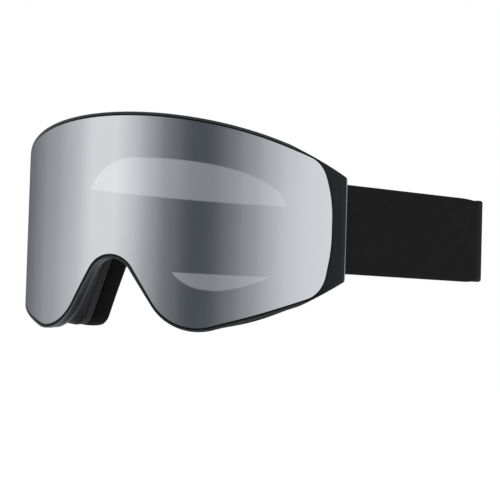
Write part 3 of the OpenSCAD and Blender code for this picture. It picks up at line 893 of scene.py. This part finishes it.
def grip_mesh(side):
    """Three silicone beads on the inner ply."""
    beads = []
    inner = -1.5 * STRAP_T - PLY_GAP
    for k in (-1, 0, 1):
        stations = strap_stations(side, 30.0, 92.0, inner - 0.2, 1.5)
        turns = np.linspace(0, 2 * math.pi, 12, endpoint=False)
        sect = [(0.3 * math.cos(a), 1.2 * math.sin(a)) for a in turns]
        points = [(*(p + nrm * t), STRAP_Z + 11 * k + v + rise) for p, nrm, rise in stations for t, v in sect]
        count = len(stations)
        faces = grid_faces(count, 12, closed_k=False)
        faces.append(tuple(range(12)))
        faces.append(tuple(reversed(range((count - 1) * 12, count * 12))))
        beads.append(add_mesh(side + "_grip_bead" + str(k + 1), points, faces))
    join_into(beads[0], beads[1:])
    beads[0].name = side + "_grip_beads"
    return outwards(beads[0])


def slider_mesh(side):
    """Ladder slider with rounded bars, at its rest place on the back of the strap."""
    sx = SLIDER_X[side]
    rise = rise_at(half_len - sx)
    tilt = math.atan(RISE_SLOPE) if side == "left" else 0.0
    half_w = STRAP_W / 2 + 0.5
    plies = STRAP_T / 2 + 0.3
    inner_y = -1.5 * STRAP_T - PLY_GAP - 0.3
    thick, bar, rail, pitch = 1.6, 3.6, 3.0, 8.0
    depth = plies - inner_y + 2 * thick
    rail_y = inner_y - thick + depth / 2
    boxes = [(0, rail_y, s * (half_w + rail / 2), 2 * pitch + bar, depth, rail) for s in (-1, 1)]
    boxes += [(s * pitch, plies + thick / 2, 0, bar, thick, 2 * half_w + 2) for s in (-1, 1)]
    boxes += [(0, inner_y - thick / 2, 0, bar, thick, 2 * half_w + 2)]
    bm = bmesh.new()
    turn = Matrix.Translation(Vector((sx, back_y, STRAP_Z + rise)) * MM) @ Matrix.Rotation(tilt, 4, "Y")
    for x, y, z, w, d, h in boxes:
        made = bmesh.ops.create_cube(bm, size=1.0)
        bmesh.ops.transform(bm, verts=made["verts"], matrix=turn @ Matrix.Translation(Vector((x, y, z)) * MM)
                            @ Matrix.Diagonal(Vector((w * MM, d * MM, h * MM, 1))))
    mesh = bpy.data.meshes.new(side + "_ladder_slider")
    bm.to_mesh(mesh)
    bm.free()
    obj = bpy.data.objects.new(side + "_ladder_slider", mesh)
    bpy.context.scene.collection.objects.link(obj)
    mesh.polygons.foreach_set("use_smooth", [True] * len(mesh.polygons))
    return bevelled(obj, 0.55, 4)


def build_strap():
    for side in ("left", "right"):
        webbing = band_mesh(side + "_webbing", webbing_stations(side), STRAP_W, STRAP_T)
        nodes = [side + "_strap_end", side + "_strap_return"] + (["strap_band"] if side == "left" else [])
        finish_piece(webbing, MAT["webbing"], "webbing", *nodes)
        blend_at_clip(webbing)
        stitches = stitch_mesh(side + "_seam_stitches", seam_places(side), 2.0, 0.2)
        finish_piece(stitches, MAT["thread"], "webbing")
        blend_at_clip(stitches)
        grip = grip_mesh(side)
        finish_piece(grip, MAT["grip"], "grip_silicone", side + "_grip_strips")
        blend_at_clip(grip)
        slider = slider_mesh(side)
        finish_piece(slider, MAT["slider"], "slider_plastic", side + "_slider")
        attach(slider, side + "_slider")


# ---------- CAD nodes that stay ----------

def dress_cad_nodes():
    looks = {"carrier_magnets": ("nickel", 0.12), "frame_magnets": ("nickel", 0.12)}
    for side in ("left", "right"):
        looks[side + "_pivot_bracket"] = ("carrier", 0.3)
        looks[side + "_clip_pin"] = ("steel", 0.15)
        looks[side + "_strap_clip"] = ("slider", 0.2)
    for name, (mat, edge) in looks.items():
        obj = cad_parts[name]
        if obj.material_slots:
            obj.material_slots[0].material = MAT[mat]
        else:
            obj.data.materials.append(MAT[mat])
        bevelled(obj, edge, 2, 45)


# ---------- studio ----------

CAMERA_AZ = math.radians(28.63)
CAMERA_EL = math.radians(-2.83)
CAMERA_ROLL = math.radians(1.70)
CAMERA_DIST = 837.4
CAMERA_SHIFT = (20.36, -8.91)
FOCAL_MM = 116.4
FLOOR_Z = -0.26


def build_camera():
    right = Vector((math.cos(CAMERA_AZ), math.sin(CAMERA_AZ), 0))
    back = Vector((math.sin(CAMERA_AZ) * math.cos(CAMERA_EL), -math.cos(CAMERA_AZ) * math.cos(CAMERA_EL),
                   math.sin(CAMERA_EL)))
    up = back.cross(right)
    place = (back * CAMERA_DIST + right * CAMERA_SHIFT[0] + up * CAMERA_SHIFT[1]) * MM
    x = right * math.cos(CAMERA_ROLL) + up * math.sin(CAMERA_ROLL)
    y = -right * math.sin(CAMERA_ROLL) + up * math.cos(CAMERA_ROLL)
    data = bpy.data.cameras.new("camera")
    data.lens = FOCAL_MM
    data.sensor_width = 36
    data.clip_start = 0.01
    camera = bpy.data.objects.new("camera", data)
    camera.matrix_world = Matrix(((x.x, y.x, back.x, place.x), (x.y, y.y, back.y, place.y),
                                  (x.z, y.z, back.z, place.z), (0, 0, 0, 1)))
    bpy.context.scene.collection.objects.link(camera)
    bpy.context.scene.camera = camera


# Brightness of the studio walls by azimuth from straight ahead of the lens, in degrees
STUDIO_BANDS = [(-180, 0.30), (-150, 0.14), (-112, 0.25), (-96, 0.39), (-77, 0.55), (-58, 0.80), (-42, 1.08),
                (-28, 0.95), (-14, 0.63), (-2, 0.34), (11, 0.17), (23, 0.114), (35, 0.185), (47, 0.34),
                (59, 0.52), (72, 0.74), (85, 0.89), (99, 0.97), (125, 0.97), (150, 0.7), (180, 0.30)]

# The reflected window and the ledge below it, in degrees. Each spans a left and a right half from its
# middle, and its free edge falls off by its own power and root on each side.
WINDOW_MIDDLE, WINDOW_HALVES = -8, (42.5, 83.5)
WINDOW_POWERS, WINDOW_ROOTS = (3.5, 2.0), (1.0, 0.5)
WINDOW_CROWN = 5.98
SILL_END, SILL_SPAN = 75, 125
SILL_LOW, SILL_RISE, SILL_POWER = 4.41, 0.39, 1.5
LEDGE_MIDDLE, LEDGE_HALVES = 34, (28, 35)
LEDGE_POWERS, LEDGE_ROOTS = (3.0, 1.45), (1.0, 1.0)
LEDGE_TOP, LEDGE_SLOPE, LEDGE_DEPTH = 1.965, -0.0013, 0.58
EDGE_SOFT = 0.025
EDGE_SHUT = 0.06
PANE_COLOUR = (2.16, 2.2, 2.26)
PANE_FADE = {"From Min": 10, "From Max": 76, "To Min": 0.12, "To Max": 0.065}


def cool_tint(v):
    """A grey level with a little less red and a little more blue."""
    return (v - 0.016 * v / (v + 0.1), v + 0.0015 * v / (v + 0.05), v + 0.028 * v / (v + 0.05))


def arch(tree, azimuth, middle, halves, powers, roots):
    """1 at the middle, falling to 0 at the end of each half."""
    sides = []
    for sign, half, power, root in zip((-1, 1), halves, powers, roots):
        t = maths(tree, "MULTIPLY_ADD", azimuth, sign / half, -sign * middle / half, clamp=True)
        sides.append(maths(tree, "POWER", maths(tree, "SUBTRACT", 1.0, maths(tree, "POWER", t, power)), root))
    return maths(tree, "MULTIPLY", *sides)


def between(tree, low, high, value):
    """1 where the value lies between two edges, with a soft step at each."""
    steps = []
    for upper, lower in ((value, low), (high, value)):
        step = node(tree, "ShaderNodeMapRange", {"From Min": -EDGE_SOFT, "From Max": EDGE_SOFT},
                    clamp=True, interpolation_type="SMOOTHSTEP")
        tree.links.new(maths(tree, "SUBTRACT", upper, lower), step.inputs["Value"])
        steps.append(step.outputs[0])
    return maths(tree, "MULTIPLY", *steps)


def window_edges(tree, azimuth):
    """Elevations of the sill and the top. Where the arch is at 0 the top lies EDGE_SHUT below the sill,
    so that nothing shows past the ends."""
    back = maths(tree, "MULTIPLY_ADD", azimuth, -1 / SILL_SPAN, SILL_END / SILL_SPAN)
    rise = maths(tree, "POWER", maths(tree, "MAXIMUM", back, 0.0), SILL_POWER)
    sill = maths(tree, "MULTIPLY_ADD", rise, SILL_RISE, SILL_LOW)
    shape = arch(tree, azimuth, WINDOW_MIDDLE, WINDOW_HALVES, WINDOW_POWERS, WINDOW_ROOTS)
    shut = maths(tree, "SUBTRACT", sill, EDGE_SHUT)
    return sill, maths(tree, "MULTIPLY_ADD", maths(tree, "SUBTRACT", WINDOW_CROWN, shut), shape, shut)


def ledge_edges(tree, azimuth):
    """Elevations of the lower edge, which bulges down, and the top. Past the ends they cross in the
    same way."""
    top = maths(tree, "MULTIPLY_ADD", azimuth, LEDGE_SLOPE, LEDGE_TOP)
    shape = arch(tree, azimuth, LEDGE_MIDDLE, LEDGE_HALVES, LEDGE_POWERS, LEDGE_ROOTS)
    bulge = maths(tree, "MULTIPLY_ADD", shape, -LEDGE_DEPTH - EDGE_SHUT, EDGE_SHUT)
    return maths(tree, "ADD", top, bulge), top


def build_world():
    """A white surround for the camera, and soft vertical studio bands with two window patches that
    only reflections and light see."""
    world = bpy.data.worlds.new("studio")
    bpy.context.scene.world = world
    bpy.context.scene.view_settings.view_transform = "Standard"
    world.use_nodes = True
    tree = world.node_tree
    background = tree.nodes["Background"]
    coord = node(tree, "ShaderNodeTexCoord")
    split = node(tree, "ShaderNodeSeparateXYZ")
    tree.links.new(coord.outputs["Generated"], split.inputs[0])
    x, y, z = split.outputs
    degrees = 180 / math.pi
    azimuth = maths(tree, "MULTIPLY", maths(tree, "ARCTAN2", x, maths(tree, "MULTIPLY", y, -1.0)), degrees)
    elevation = maths(tree, "MULTIPLY", maths(tree, "ARCSINE", z), degrees)
    share = maths(tree, "MULTIPLY_ADD", azimuth, 1 / 360, 0.5)
    bands = ramp(tree, share, [(a / 360 + 0.5, cool_tint(v)) for a, v in STUDIO_BANDS], "CARDINAL")
    window = between(tree, *window_edges(tree, azimuth), elevation)
    ledge = between(tree, *ledge_edges(tree, azimuth), elevation)
    fade = node(tree, "ShaderNodeMapRange", PANE_FADE, clamp=True)
    tree.links.new(azimuth, fade.inputs["Value"])
    glow = maths(tree, "MULTIPLY", maths(tree, "MAXIMUM", window, ledge), fade.outputs[0])
    walls = mix_colour(tree, glow, bands, PANE_COLOUR)
    light = node(tree, "ShaderNodeLightPath")
    shown = mix_colour(tree, light.outputs["Is Camera Ray"], walls, (1.0, 1.0, 1.0))
    tree.links.new(shown, background.inputs["Color"])
    background.inputs["Strength"].default_value = 1.0


def add_area(name, place, target, size, energy):
    data = bpy.data.lights.new(name, "AREA")
    data.shape = "RECTANGLE"
    data.size, data.size_y = size
    data.energy = energy
    light = bpy.data.objects.new(name, data)
    light.location = place
    light.rotation_euler = (Vector(target) - Vector(place)).to_track_quat("-Z", "Y").to_euler()
    light.visible_glossy = False
    light.visible_camera = False
    bpy.context.scene.collection.objects.link(light)
    return light


def build_studio():
    floor = add_mesh("floor", np.array([(-1, -1, 0), (1, -1, 0), (1, 1, 0), (-1, 1, 0)], float) * 6000
                     + np.array([0, 0, FLOOR_Z / MM]), [(0, 1, 2, 3)], False)
    mat, tree, shader = material("floor_paint", (0.9, 0.9, 0.9), 0.9)
    where = mapped(tree, (1, 1, 1))
    tree.links.new(ramp(tree, noise(tree, where, 3, 3), [(0.3, grey(0.90)), (0.7, grey(0.93))]),
                   shader.inputs["Base Color"])
    shader.inputs["Emission Color"].default_value = (1, 1, 1, 1)
    shader.inputs["Emission Strength"].default_value = 0.55
    floor.data.materials.append(mat)
    add_area("key", (0.9, -1.2, 1.2), (0, 0, 0), (1.2, 1.2), 7)
    add_area("fill", (-1.2, -0.6, 0.8), (0, 0, 0), (1.2, 1.2), 3)
    add_area("back", (0.3, 1.4, 1.0), (0, 0, 0), (1.4, 1.0), 6)


build_camera()
build_world()
build_studio()
build_lens()
build_front_frame()
build_face_frame()
build_vent_foams()
build_foam()
build_strap()
dress_cad_nodes()
